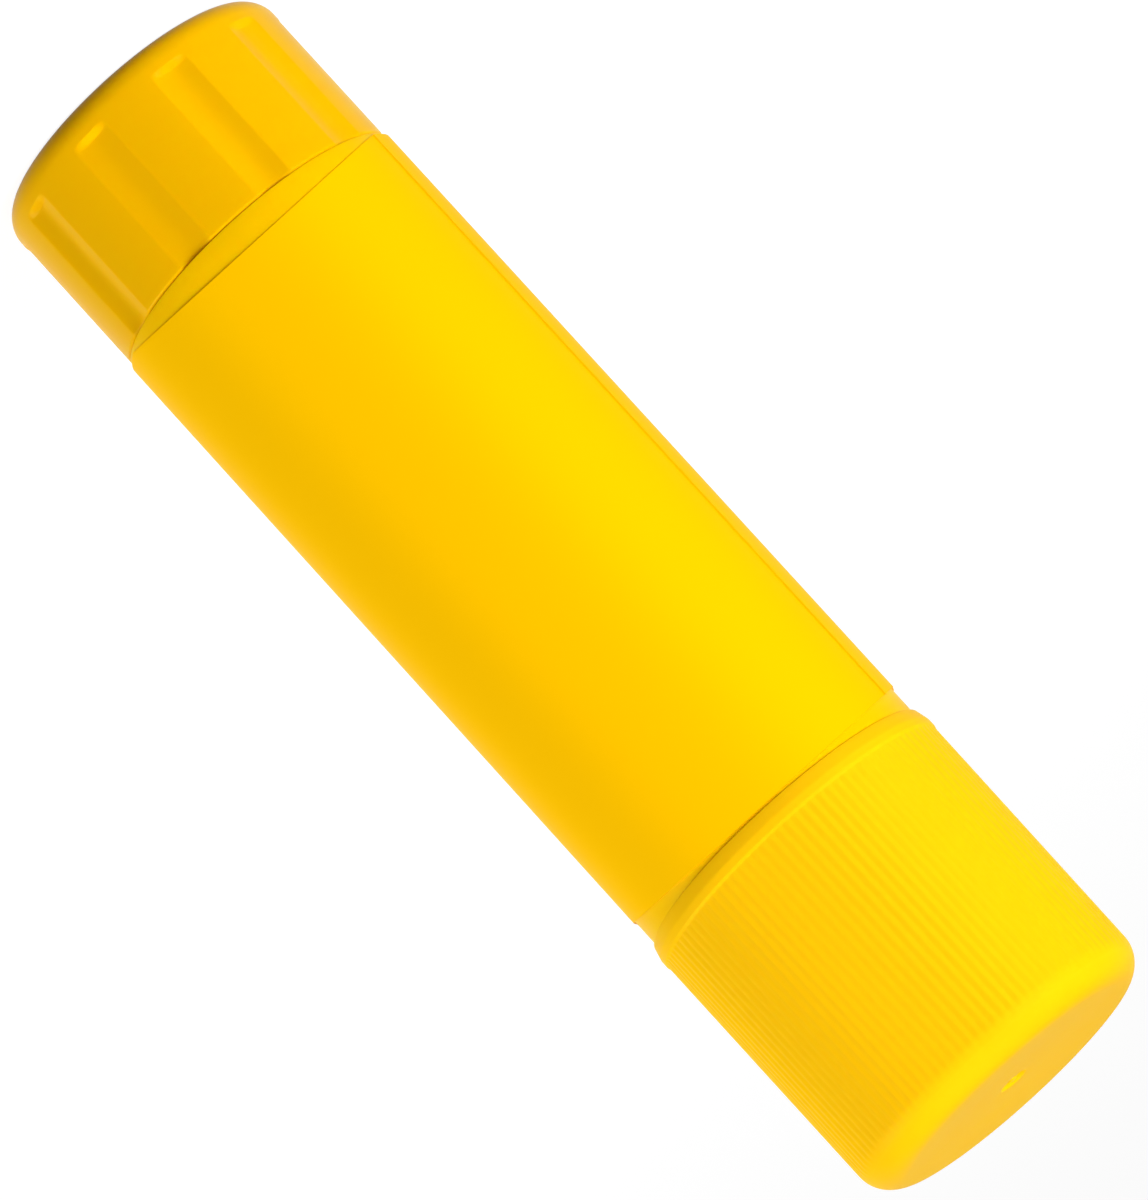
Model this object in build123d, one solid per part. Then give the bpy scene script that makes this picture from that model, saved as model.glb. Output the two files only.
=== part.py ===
from build123d import *
import math
import os

os.makedirs("parts", exist_ok=True)

# Glue stick that stands on its twist knob, with the cap on.
# Z runs up the common axis and the origin is the centre of the foot.
# Lengths are in millimetres and angles in degrees.

# Clearances
seam_gap = 0.2
running_clearance = 0.08
sliding_clearance = 0.25
fitted_clearance = 0.03
thrust_clearance = 0.15
overrun = 1.0

# Rounded corners are followed by flat bands of about this length
band_length = 0.85

# Barrel
barrel_radius = 12.55
barrel_wall = 1.6
barrel_length = 58.1
neck_wall = 0.8
neck_length = 10.1
neck_rim_rounding = 0.3
neck_bead_rise = 2.6
neck_bead_width = 1.4
neck_bead_height = 0.17
web_thickness = 1.6
hub_wall = 1.3
hub_drop = 2.5
spigot_wall = 1.0
spigot_length = 9.3
key_count = 4
key_width = 1.2
key_height = 0.45
key_stop = 1.5

# Twist knob
knob_height = 14.6
knob_wall = 1.27
knob_floor = 1.8
knob_end_rounding = 2.0
knob_edge_rounding = 0.3
foot_recess_depth = 0.5
foot_ring_width = 1.6
flute_count = 10
flute_width = 3.2
flute_depth = 0.45
flute_start = 2.5
flute_phase = -1.5
snap_depth = 0.22
snap_width = 1.0
socket_wall = 1.4
socket_height = 6.0

# Lead screw
screw_radius = 3.2
screw_tip_depth = 5.0
screw_tip_taper = 1.0
flange_width = 1.8
flange_thickness = 1.2
drive_side = 4.6
drive_corner = 0.5

# Glue carrier
carrier_height = 8.5
carrier_floor = 1.4
carrier_wall = 1.0
nut_wall = 1.2
nut_height = 5.2

# Glue
glue_length = 21.1
glue_depth = 2.0
glue_top_rounding = 1.1
glue_bore_clearance = 0.3

# Label
label_thickness = 0.13
label_foot_margin = 2.2
label_head_margin = 0.1
label_back_foot_margin = 0.2
label_back_head_margin = 2.5
label_foot_tilt = 14.3
label_head_tilt = 10.5
label_lap_width = 3.0
label_lap_start = 188.0

# Cap
cap_clearance = 0.25
cap_wall = 1.06
cap_roof = 1.6
cap_headspace = 13.4
cap_end_rounding = 2.6
cap_end_step = 0.04
cap_end_band = 0.3
cap_inner_rounding = 0.6
cap_draft = 0.12
lip_height = 1.55
lip_rounding = 0.45
lip_step = 0.08
rib_count = 104
rib_depth = 0.17
gate_radius = 0.95
gate_depth = 0.35

# Heights along the axis
barrel_foot_z = knob_height + seam_gap
web_top_z = barrel_foot_z + web_thickness
hub_foot_z = barrel_foot_z - hub_drop
spigot_foot_z = barrel_foot_z - spigot_length
shoulder_z = barrel_foot_z + barrel_length
mouth_z = shoulder_z + neck_length
cap_foot_z = shoulder_z + seam_gap
cap_top_z = mouth_z + cap_headspace + cap_roof
rib_foot_z = cap_foot_z + lip_height
rib_head_z = cap_top_z - cap_end_rounding - cap_end_band
glue_top_z = mouth_z - glue_depth
carrier_foot_z = glue_top_z - glue_length - carrier_floor

# Radii shared by pieces that fit each other
bore_radius = barrel_radius - barrel_wall
neck_radius = bore_radius + neck_wall
cap_bore = neck_radius + cap_clearance
lip_radius = cap_bore + cap_wall
rib_foot_radius = lip_radius - lip_step
rib_head_radius = rib_foot_radius - cap_draft
knob_bore = barrel_radius - knob_wall
spigot_bead_radius = knob_bore - running_clearance
spigot_radius = spigot_bead_radius - snap_depth
hub_bore = screw_radius + running_clearance
nut_bore = screw_radius + running_clearance
carrier_radius = bore_radius - sliding_clearance
glue_radius = bore_radius - key_height - sliding_clearance
label_bore = barrel_radius + fitted_clearance
label_radius = label_bore + label_thickness


def eased(corners):
    """Outline points from (radius, height, rounding) corners, with each arc cut into flat bands."""
    points = []
    places = [Vector(radius, 0, height) for radius, height, rounding in corners]
    for number, here in enumerate(places):
        rounding = corners[number][2]
        if rounding == 0:
            points.append(here)
            continue
        back = (places[number - 1] - here).normalized()
        ahead = (places[(number + 1) % len(places)] - here).normalized()
        opening = math.radians(back.get_angle(ahead))
        middle = here + (back + ahead).normalized() * (rounding / math.sin(opening / 2))
        first = here + back * (rounding / math.tan(opening / 2)) - middle
        last = here + ahead * (rounding / math.tan(opening / 2)) - middle
        turn = math.pi - opening
        bands = max(1, round(rounding * turn / band_length))
        for band in range(bands + 1):
            swung = turn * band / bands
            first_share = math.sin(turn - swung) / math.sin(turn)
            last_share = math.sin(swung) / math.sin(turn)
            points.append(middle + first * first_share + last * last_share)
    return points


def turned(corners, arc=360.0):
    """Turn a closed outline of (radius, height, rounding) corners about the Z axis."""
    outline = Polyline(*eased(corners), close=True)
    return revolve(make_face(outline), axis=Axis.Z, revolution_arc=arc)


def ring(inner, outer, low, high):
    """Plain ring between two radii and two heights."""
    return turned([(inner, low, 0), (outer, low, 0), (outer, high, 0), (inner, high, 0)])


def plug(radius, low, high):
    """Plain round bar on the Z axis."""
    return turned([(0, low, 0), (radius, low, 0), (radius, high, 0), (0, high, 0)])


def barrel():
    """Tube with the bare foot, the neck, the web with its bearing hub and the snap spigot."""
    body = turned([
        (bore_radius, barrel_foot_z, 0),
        (barrel_radius, barrel_foot_z, 0),
        (barrel_radius, shoulder_z, 0),
        (neck_radius, shoulder_z, 0),
        (neck_radius, mouth_z, neck_rim_rounding),
        (bore_radius, mouth_z, 0),
    ])
    bead_z = shoulder_z + neck_bead_rise
    body += turned([
        (bore_radius + neck_wall / 2, bead_z, 0),
        (neck_radius, bead_z, 0),
        (neck_radius + neck_bead_height, bead_z + neck_bead_width / 2, 0),
        (neck_radius, bead_z + neck_bead_width, 0),
        (bore_radius + neck_wall / 2, bead_z + neck_bead_width, 0),
    ])
    body += ring(hub_bore, barrel_radius - barrel_wall / 2, barrel_foot_z, web_top_z)
    body += ring(hub_bore, hub_bore + hub_wall, hub_foot_z, web_top_z)
    spigot_bore = spigot_radius - spigot_wall
    body += ring(spigot_bore, spigot_radius, spigot_foot_z, web_top_z)
    body += turned([
        (spigot_bore, spigot_foot_z, 0),
        (spigot_bead_radius, spigot_foot_z, 0),
        (spigot_bead_radius, spigot_foot_z + snap_width, 0),
        (spigot_bore, spigot_foot_z + snap_width, 0),
    ])
    key_foot_z = web_top_z - web_thickness / 2
    key_length = mouth_z - key_stop - key_foot_z
    key_reach = key_height + barrel_wall / 4
    key = Box(key_reach, key_width, key_length, align=(Align.MIN, Align.CENTER, Align.MIN))
    for number in range(key_count):
        place = Pos(bore_radius - key_height, 0, key_foot_z)
        body += Rot(0, 0, 360 / key_count * (number + 0.5)) * (place * key)
    return body


def flute_cutter():
    """Round cutter for one grip flute, with a sloped end wall."""
    half = flute_width / 2
    edge_drop = barrel_radius - math.sqrt(barrel_radius**2 - half**2)
    sag = flute_depth - edge_drop
    cutter_radius = (half**2 + sag**2) / (2 * sag)
    top_z = knob_height + overrun
    cutter = turned([
        (0, flute_start, 0),
        (cutter_radius - flute_depth, flute_start, 0),
        (cutter_radius, flute_start + flute_depth, 0),
        (cutter_radius, top_z, 0),
        (0, top_z, 0),
    ])
    return Pos(barrel_radius + cutter_radius - flute_depth, 0, 0) * cutter


def drive_profile(side):
    """Square with cut corners that turns the lead screw."""
    square = Rectangle(side, side)
    return chamfer(square.vertices(), drive_corner)


def twist_knob():
    """Fluted cup with a foot ring, a snap ring for the barrel's spigot and a drive socket."""
    cup = turned([
        (0, 0, 0),
        (barrel_radius, 0, knob_end_rounding),
        (barrel_radius, knob_height, knob_edge_rounding),
        (knob_bore, knob_height, 0),
        (knob_bore, knob_floor, 0),
        (0, knob_floor, 0),
    ])
    recess_radius = barrel_radius - knob_end_rounding - foot_ring_width
    cup -= plug(recess_radius, -overrun, foot_recess_depth)
    ring_z = spigot_foot_z + snap_width + thrust_clearance
    cup += turned([
        (spigot_radius + running_clearance, ring_z, 0),
        (knob_bore + knob_wall / 4, ring_z, 0),
        (knob_bore + knob_wall / 4, ring_z + snap_width, 0),
        (spigot_radius + running_clearance, ring_z + snap_width, 0),
    ])
    boss_radius = drive_side / math.sqrt(2) + socket_wall
    cup += plug(boss_radius, knob_floor / 2, knob_floor + socket_height)
    socket = extrude(drive_profile(drive_side + 2 * fitted_clearance), socket_height + overrun)
    cup -= Pos(0, 0, knob_floor) * socket
    cutter = flute_cutter()
    for number in range(flute_count):
        cup -= Rot(0, 0, flute_phase + 360 / flute_count * number) * cutter
    return cup


def lead_screw():
    """Spindle with a square drive foot and a thrust flange."""
    flange_top_z = hub_foot_z - thrust_clearance
    flange_foot_z = flange_top_z - flange_thickness
    tip_z = mouth_z - screw_tip_depth
    spindle = turned([
        (0, flange_foot_z, 0),
        (screw_radius + flange_width, flange_foot_z, 0),
        (screw_radius + flange_width, flange_top_z, 0),
        (screw_radius, flange_top_z, 0),
        (screw_radius, tip_z, screw_tip_taper),
        (0, tip_z, 0),
    ])
    foot = extrude(drive_profile(drive_side), flange_top_z - knob_floor)
    return spindle + Pos(0, 0, knob_floor) * foot


def glue_carrier():
    """Cup that holds the glue, notched for the barrel's keys, with the nut in its middle."""
    cup_bore = carrier_radius - carrier_wall
    nut_radius = nut_bore + nut_wall
    cup_top_z = carrier_foot_z + carrier_height
    floor_z = carrier_foot_z + carrier_floor
    cup = turned([
        (nut_bore, carrier_foot_z, 0),
        (carrier_radius, carrier_foot_z, 0),
        (carrier_radius, cup_top_z, 0),
        (cup_bore, cup_top_z, 0),
        (cup_bore, floor_z, 0),
        (nut_radius, floor_z, 0),
        (nut_radius, carrier_foot_z + nut_height, 0),
        (nut_bore, carrier_foot_z + nut_height, 0),
    ])
    notch_reach = bore_radius - key_height - sliding_clearance
    notch = Box(
        barrel_wall,
        key_width + 2 * sliding_clearance,
        carrier_height + 2 * overrun,
        align=(Align.MIN, Align.CENTER, Align.MIN),
    )
    for number in range(key_count):
        place = Pos(notch_reach, 0, carrier_foot_z - overrun)
        cup -= Rot(0, 0, 360 / key_count * (number + 0.5)) * (place * notch)
    return cup


def glue_stick():
    """Part-used column of glue, cast into the carrier round the nut and bored for the screw."""
    floor_z = carrier_foot_z + carrier_floor + fitted_clearance
    cup_top_z = carrier_foot_z + carrier_height + fitted_clearance
    nut_top_z = carrier_foot_z + nut_height + fitted_clearance
    cup_radius = carrier_radius - carrier_wall - fitted_clearance
    nut_radius = nut_bore + nut_wall + fitted_clearance
    bore = screw_radius + glue_bore_clearance
    return turned([
        (nut_radius, floor_z, 0),
        (cup_radius, floor_z, 0),
        (cup_radius, cup_top_z, 0),
        (glue_radius, cup_top_z, 0),
        (glue_radius, glue_top_z, glue_top_rounding),
        (bore, glue_top_z, 0),
        (bore, nut_top_z, 0),
        (nut_radius, nut_top_z, 0),
    ])


def film(low, high):
    """Film wrapped once round the barrel between two heights, with one lapped edge."""
    lap = turned([
        (label_bore + label_thickness / 2, low, 0),
        (label_radius + label_thickness, low, 0),
        (label_radius + label_thickness, high, 0),
        (label_bore + label_thickness / 2, high, 0),
    ], math.degrees(label_lap_width / label_radius))
    return ring(label_bore, label_radius, low, high) + Rot(0, 0, label_lap_start) * lap


def label_cutter(height, tilt, side):
    """Block with one face through the label's front at a height, leaning down to the back."""
    block = Box(
        4 * label_radius,
        6 * label_radius,
        2 * label_radius,
        align=(Align.CENTER, Align.CENTER, side),
    )
    return Pos(0, -label_radius, height) * (Rot(-tilt, 0, 0) * block)


def label():
    """Film whose ends are cut in a curve at the front and straight behind."""
    low_z = barrel_foot_z + label_back_foot_margin
    middle_z = shoulder_z - label_back_head_margin
    high_z = shoulder_z - label_head_margin
    front_low_z = barrel_foot_z + label_foot_margin
    sleeve = film(low_z, middle_z) - label_cutter(front_low_z, label_foot_tilt, Align.MAX)
    crown = film(middle_z, high_z) - label_cutter(high_z, label_head_tilt, Align.MIN)
    return sleeve + crown


def rib_section(radius, height):
    """Closed outline of the ribbed skin at one height: a crest and a root for every rib."""
    points = []
    for number in range(2 * rib_count):
        turn = math.pi / rib_count * number
        reach = radius - rib_depth * (number % 2)
        points.append((reach * math.cos(turn), reach * math.sin(turn), height))
    return make_face(Polyline(*points, close=True))


def cap():
    """Closed sleeve with a smooth lip, fine grip ribs, a rounded end and a gate dimple."""
    skin = loft(
        [rib_section(rib_foot_radius, rib_foot_z), rib_section(rib_head_radius, rib_head_z)],
        ruled=True,
    )
    lip = turned([
        (0, cap_foot_z, 0),
        (lip_radius, cap_foot_z, lip_rounding),
        (lip_radius, rib_foot_z, 0),
        (0, rib_foot_z, 0),
    ])
    end_radius = rib_head_radius + cap_end_step
    end = turned([
        (0, rib_head_z, 0),
        (end_radius, rib_head_z, 0),
        (end_radius, cap_top_z, cap_end_rounding),
        (0, cap_top_z, 0),
    ])
    roof_z = cap_top_z - cap_roof
    hollow = turned([
        (0, cap_foot_z - overrun, 0),
        (cap_bore, cap_foot_z - overrun, 0),
        (cap_bore, roof_z, cap_inner_rounding),
        (0, roof_z, 0),
    ])
    dimple = plug(gate_radius, cap_top_z - gate_depth, cap_top_z + overrun)
    return lip + skin + end - hollow - dimple


pieces = {
    "twist_knob": twist_knob,
    "lead_screw": lead_screw,
    "barrel": barrel,
    "label": label,
    "glue_carrier": glue_carrier,
    "glue_stick": glue_stick,
    "cap": cap,
}

for name, make in pieces.items():
    export_step(make(), f"parts/{name}.step")
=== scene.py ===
"""Glue stick with its cap on: visible meshes, finishes, floor, lamps and camera."""

import logging
import math
from dataclasses import dataclass
from enum import Enum
from functools import reduce
from typing import Sequence

import bpy
from mathutils import Matrix, Vector


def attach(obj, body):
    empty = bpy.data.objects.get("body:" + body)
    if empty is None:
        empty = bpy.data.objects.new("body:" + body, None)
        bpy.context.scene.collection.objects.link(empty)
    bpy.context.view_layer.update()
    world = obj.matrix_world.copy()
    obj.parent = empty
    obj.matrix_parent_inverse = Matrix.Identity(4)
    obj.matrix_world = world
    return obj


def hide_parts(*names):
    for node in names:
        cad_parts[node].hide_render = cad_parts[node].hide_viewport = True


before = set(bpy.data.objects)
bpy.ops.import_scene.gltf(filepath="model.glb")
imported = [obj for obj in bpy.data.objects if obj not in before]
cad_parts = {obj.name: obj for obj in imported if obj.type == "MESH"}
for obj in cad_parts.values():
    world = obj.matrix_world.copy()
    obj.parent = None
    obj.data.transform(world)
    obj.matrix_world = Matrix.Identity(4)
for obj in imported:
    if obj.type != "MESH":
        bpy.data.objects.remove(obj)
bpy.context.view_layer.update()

log = logging.getLogger("glue_stick")

MM = 0.001
FULL_TURN = 2 * math.pi

NodeSocket = bpy.types.NodeSocket
Term = NodeSocket | float
Pair = tuple[float, float]
Triple = tuple[float, float, float]


# Helpers for turned meshes

ARC_STEP = math.radians(6)
FEWEST_ARC_STEPS = 3
SMALL_ROUNDING = 0.4
TINY_ROUNDING = 0.1


class Section(Enum):
    """Cross section of one ring of a turned mesh."""

    ROUND = "round"
    SQUARE = "square"


@dataclass(frozen=True)
class Corner:
    """Corner of a turned outline, or one ring of its mesh. Lengths are in millimetres.

    A square corner's radius is half of the distance across its flats.
    """

    radius: float
    height: float
    rounding: float = 0.0
    section: Section = Section.ROUND


def rounded(corners: Sequence[Corner]) -> list[Corner]:
    """Follow an outline and replace each rounded corner by a true arc, coarser where it is small.

    Args:
        corners: The closed outline, anticlockwise in radius and height.

    Returns:
        The rings from the first corner to the last.
    """
    rings: list[Corner] = []
    places = [Vector((corner.radius, corner.height)) for corner in corners]
    for number, corner in enumerate(corners):
        here = places[number]
        if corner.rounding == 0:
            rings.append(Corner(here.x, here.y, section=corner.section))
            continue
        back = (places[number - 1] - here).normalized()
        ahead = (places[(number + 1) % len(places)] - here).normalized()
        opening = back.angle(ahead)
        turn = math.pi - opening
        centre = here + (back + ahead).normalized() * (corner.rounding / math.sin(opening / 2))
        reach = corner.rounding / math.tan(opening / 2)
        first = here + back * reach - centre
        last = here + ahead * reach - centre
        coarseness = 1 + (corner.rounding < SMALL_ROUNDING) + 2 * (corner.rounding < TINY_ROUNDING)
        steps = max(FEWEST_ARC_STEPS, math.ceil(turn / ARC_STEP / coarseness))
        for step in range(steps + 1):
            swung = turn * step / steps
            first_share = math.sin(turn - swung) / math.sin(turn)
            last_share = math.sin(swung) / math.sin(turn)
            point = centre + first * first_share + last * last_share
            rings.append(Corner(point.x, point.y, section=corner.section))
    return rings


def cut_at(rings: list[Corner], heights: Sequence[float]) -> list[Corner]:
    """Add a ring wherever a run of the outline crosses one of the given heights.

    Args:
        rings: The rings of an outline.
        heights: Heights in millimetres.

    Returns:
        The rings with the added ones between them.
    """
    result: list[Corner] = []
    for ring, after in zip(rings, rings[1:] + rings[:1]):
        result.append(ring)
        if ring.radius == 0 or after.radius == 0 or ring.section != after.section:
            continue
        rise = after.height - ring.height
        low, high = sorted((ring.height, after.height))
        for height in sorted((h for h in heights if low < h < high), reverse=rise < 0):
            share = (height - ring.height) / rise
            radius = ring.radius + (after.radius - ring.radius) * share
            result.append(Corner(radius, height, section=ring.section))
    return result


def reach_of(ring: Corner, angle: float, corner_cut: float) -> float:
    """Distance from the axis to a ring's outline.

    Args:
        ring: The ring.
        angle: Direction about the axis, in radians.
        corner_cut: Chamfer of a square ring's corners, in millimetres.

    Returns:
        The distance in millimetres.
    """
    if ring.section is Section.ROUND:
        return ring.radius
    across, along = abs(math.cos(angle)), abs(math.sin(angle))
    flat = ring.radius / max(across, along)
    cut = (2 * ring.radius - corner_cut) / (across + along)
    return min(flat, cut)


def turned_mesh(
    name: str, rings: Sequence[Corner], segments: int, corner_cut: float = 0.0
) -> bpy.types.Object:
    """Turn a closed outline about the Z axis into a mesh object.

    Args:
        name: Name of the object.
        rings: The outline, anticlockwise in radius and height.
        segments: Divisions of a full turn.
        corner_cut: Chamfer of the square rings' corners, in millimetres.

    Returns:
        The new object, linked to the scene, with its place in its mesh.
    """
    vertices: list[Triple] = []
    starts: list[int] = []
    for ring in rings:
        starts.append(len(vertices))
        if ring.radius == 0:
            vertices.append((0.0, 0.0, ring.height * MM))
            continue
        for segment in range(segments):
            angle = FULL_TURN * segment / segments
            reach = reach_of(ring, angle, corner_cut) * MM
            vertices.append((reach * math.cos(angle), reach * math.sin(angle), ring.height * MM))
    faces: list[tuple[int, ...]] = []
    for number, ring in enumerate(rings):
        following = (number + 1) % len(rings)
        low, high = starts[number], starts[following]
        pole_here, pole_next = ring.radius == 0, rings[following].radius == 0
        if pole_here and pole_next:
            continue
        for segment in range(segments):
            beside = (segment + 1) % segments
            if pole_here:
                faces.append((low, high + beside, high + segment))
            elif pole_next:
                faces.append((low + segment, low + beside, high))
            else:
                faces.append((low + segment, low + beside, high + beside, high + segment))
    return mesh_object(name, vertices, faces)


def mesh_object(name: str, vertices: Sequence[Triple], faces: Sequence[tuple[int, ...]]) -> bpy.types.Object:
    """Make a mesh object from its points and faces.

    Args:
        name: Name of the object.
        vertices: Points in metres.
        faces: Corner numbers of each face.

    Returns:
        The new object, linked to the scene.
    """
    mesh = bpy.data.meshes.new(name)
    mesh.from_pydata(list(vertices), [], list(faces))
    mesh.validate()
    piece = bpy.data.objects.new(name, mesh)
    bpy.context.scene.collection.objects.link(piece)
    return piece


def shade(piece: bpy.types.Object, crease: float = 28.0) -> None:
    """Shade a mesh smooth, with sharp edges where its faces meet at a steeper angle.

    Args:
        piece: The mesh object.
        crease: Angle in degrees.
    """
    mesh = piece.data
    mesh.polygons.foreach_set("use_smooth", [True] * len(mesh.polygons))
    mesh.set_sharp_from_angle(angle=math.radians(crease))


def rows(low: float, high: float, step: float) -> list[float]:
    """List evenly spaced places from low to high, about a step apart."""
    count = max(1, round((high - low) / step))
    return [low + (high - low) * number / count for number in range(count + 1)]


# Helpers for node trees


class SocketKind(Enum):
    """Types of a node group's sockets."""

    NUMBER = "NodeSocketFloat"
    COUNT = "NodeSocketInt"
    COLOUR = "NodeSocketColor"
    GEOMETRY = "NodeSocketGeometry"
    MATERIAL = "NodeSocketMaterial"


Inputs = dict[str, tuple[SocketKind, object]]


class NodeSheet:
    """Lays out nodes in one node tree."""

    COLUMNS = 12
    COLUMN_WIDTH = 180
    ROW_HEIGHT = 220

    def __init__(self, tree: bpy.types.NodeTree) -> None:
        """Keep the tree that the nodes go into."""
        self.tree = tree

    def node(
        self, kind: str, inputs: dict[str | int, object] | None = None, **settings: object
    ) -> bpy.types.Node:
        """Add a node.

        Args:
            kind: The node's type name.
            inputs: Sockets or values for its inputs, by their names or numbers.
            settings: Values for the node's own properties.

        Returns:
            The new node.
        """
        made = self.tree.nodes.new(kind)
        for key, value in settings.items():
            setattr(made, key, value)
        for key, value in (inputs or {}).items():
            self.feed(made.inputs[key], value)
        row, column = divmod(len(self.tree.nodes), self.COLUMNS)
        made.location = (self.COLUMN_WIDTH * column, -self.ROW_HEIGHT * row)
        return made

    def feed(self, socket: NodeSocket, value: object) -> None:
        """Link an input to another node's socket, or set its value.

        Args:
            socket: The input.
            value: A socket, or a plain value.
        """
        if isinstance(value, NodeSocket):
            self.tree.links.new(value, socket)
        else:
            socket.default_value = value

    def group(self, tree: bpy.types.NodeTree, **inputs: object) -> bpy.types.NodeOutputs:
        """Place a shader group, with its inputs by their plain names, and give its outputs."""
        values = {titled(name): value for name, value in inputs.items()}
        return self.node("ShaderNodeGroup", values, node_tree=tree).outputs

    def math(self, operation: str, *terms: Term, clamp: bool = False) -> NodeSocket:
        """Calculate with sockets or numbers, in order, and clamp the result to 0 to 1 if asked."""
        made = self.node("ShaderNodeMath", dict(enumerate(terms)), operation=operation, use_clamp=clamp)
        return made.outputs[0]

    def plus(self, *terms: Term) -> NodeSocket:
        """Add the terms up, from left to right."""
        return reduce(lambda first, second: self.math("ADD", first, second), terms)

    def times(self, *terms: Term) -> NodeSocket:
        """Multiply the terms, from left to right."""
        return reduce(lambda first, second: self.math("MULTIPLY", first, second), terms)

    def remap(self, value: Term, low: Term, high: Term) -> NodeSocket:
        """Map a value to 0 at low and 1 at high, and clamp it."""
        ends = {"Value": value, "From Min": low, "From Max": high}
        return self.node("ShaderNodeMapRange", ends, clamp=True).outputs["Result"]

    def mix_number(self, share: Term, first: Term, second: Term) -> NodeSocket:
        """Blend two numbers: the first at share 0 and the second at share 1."""
        change = self.math("SUBTRACT", second, first)
        return self.plus(first, self.times(change, share))

    def mix_colour(self, share: Term, first: object, second: object) -> NodeSocket:
        """Blend two colours: the first at share 0 and the second at share 1."""
        return self.node("ShaderNodeMix", {0: share, 6: first, 7: second}, data_type="RGBA").outputs[2]

    def noise(self, scale: Term, stretch: Triple = (1.0, 1.0, 1.0), detail: float = 2.0) -> NodeSocket:
        """Add noise on the piece's own coordinates.

        Args:
            scale: Scale of the noise.
            stretch: Factor on each axis.
            detail: Octaves.

        Returns:
            The noise value's socket.
        """
        spot = self.node("ShaderNodeTexCoord").outputs["Object"]
        mapped = self.node("ShaderNodeMapping", {"Vector": spot, "Scale": stretch})
        values = {"Vector": mapped.outputs[0], "Scale": scale, "Detail": detail}
        return self.node("ShaderNodeTexNoise", values).outputs[0]


def titled(name: str) -> str:
    """Write a plain name as a socket's name, such as run_in as Run In."""
    return name.replace("_", " ").title()


def numbers(**defaults: float) -> Inputs:
    """List a group's number inputs with their values, by their plain names."""
    return {titled(name): (SocketKind.NUMBER, value) for name, value in defaults.items()}


def start_tree(name: str, kind: str, inputs: Inputs, outputs: dict[str, SocketKind]) -> NodeSheet:
    """Start a node group with named inputs and outputs.

    Args:
        name: Name of the group.
        kind: The group's type name.
        inputs: Socket type and value of each input, with None for one that has no value.
        outputs: Socket type of each output.

    Returns:
        The group's sheet.
    """
    tree = bpy.data.node_groups.new(name, kind)
    for title, (socket, default) in inputs.items():
        made = tree.interface.new_socket(name=title, in_out="INPUT", socket_type=socket.value)
        if default is not None:
            made.default_value = default
    for title, socket in outputs.items():
        tree.interface.new_socket(name=title, in_out="OUTPUT", socket_type=socket.value)
    return NodeSheet(tree)


def start_geometry_tree(name: str, sizes: Inputs) -> NodeSheet:
    """Start a geometry tree that takes a mesh, its own sizes and a material, and gives a mesh."""
    inputs = {"Geometry": (SocketKind.GEOMETRY, None), **sizes, "Material": (SocketKind.MATERIAL, None)}
    return start_tree(name, "GeometryNodeTree", inputs, {"Geometry": SocketKind.GEOMETRY})


def finish_geometry_tree(sheet: NodeSheet, geometry: NodeSocket, material: NodeSocket) -> None:
    """End a geometry tree in Realize Instances and Set Material.

    Args:
        sheet: The tree's sheet.
        geometry: The finished geometry.
        material: The material's socket.
    """
    real = sheet.node("GeometryNodeRealizeInstances", {0: geometry})
    painted = sheet.node("GeometryNodeSetMaterial", {"Geometry": real.outputs[0], "Material": material})
    sheet.node("NodeGroupOutput", {0: painted.outputs[0]})


def blank_sheet(owner: bpy.types.Material | bpy.types.World) -> NodeSheet:
    """Clear the node tree of a material or a world for new nodes.

    Args:
        owner: The material or world.

    Returns:
        The empty tree's sheet.
    """
    owner.use_nodes = True
    owner.node_tree.nodes.clear()
    return NodeSheet(owner.node_tree)


def run_tree(piece: bpy.types.Object, tree: bpy.types.NodeTree, values: dict[str, object]) -> None:
    """Run a geometry tree on an object and keep the result as its plain mesh.

    Args:
        piece: The mesh object.
        tree: The geometry tree.
        values: Value of each named input.
    """
    modifier = piece.modifiers.new(tree.name, "NODES")
    modifier.node_group = tree
    for socket in tree.interface.items_tree:
        if socket.in_out == "INPUT" and socket.name in values:
            modifier[socket.identifier] = values[socket.name]
    piece.update_tag()
    bpy.context.view_layer.update()
    depsgraph = bpy.context.evaluated_depsgraph_get()
    evaluated = piece.evaluated_get(depsgraph)
    result = bpy.data.meshes.new_from_object(evaluated, preserve_all_data_layers=True, depsgraph=depsgraph)
    piece.modifiers.remove(modifier)
    old = piece.data
    piece.data = result
    bpy.data.meshes.remove(old)
    result.name = piece.name


# Geometry trees

SMALLEST_RADIUS = 1e-6
KEY_FACETS = 24


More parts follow.
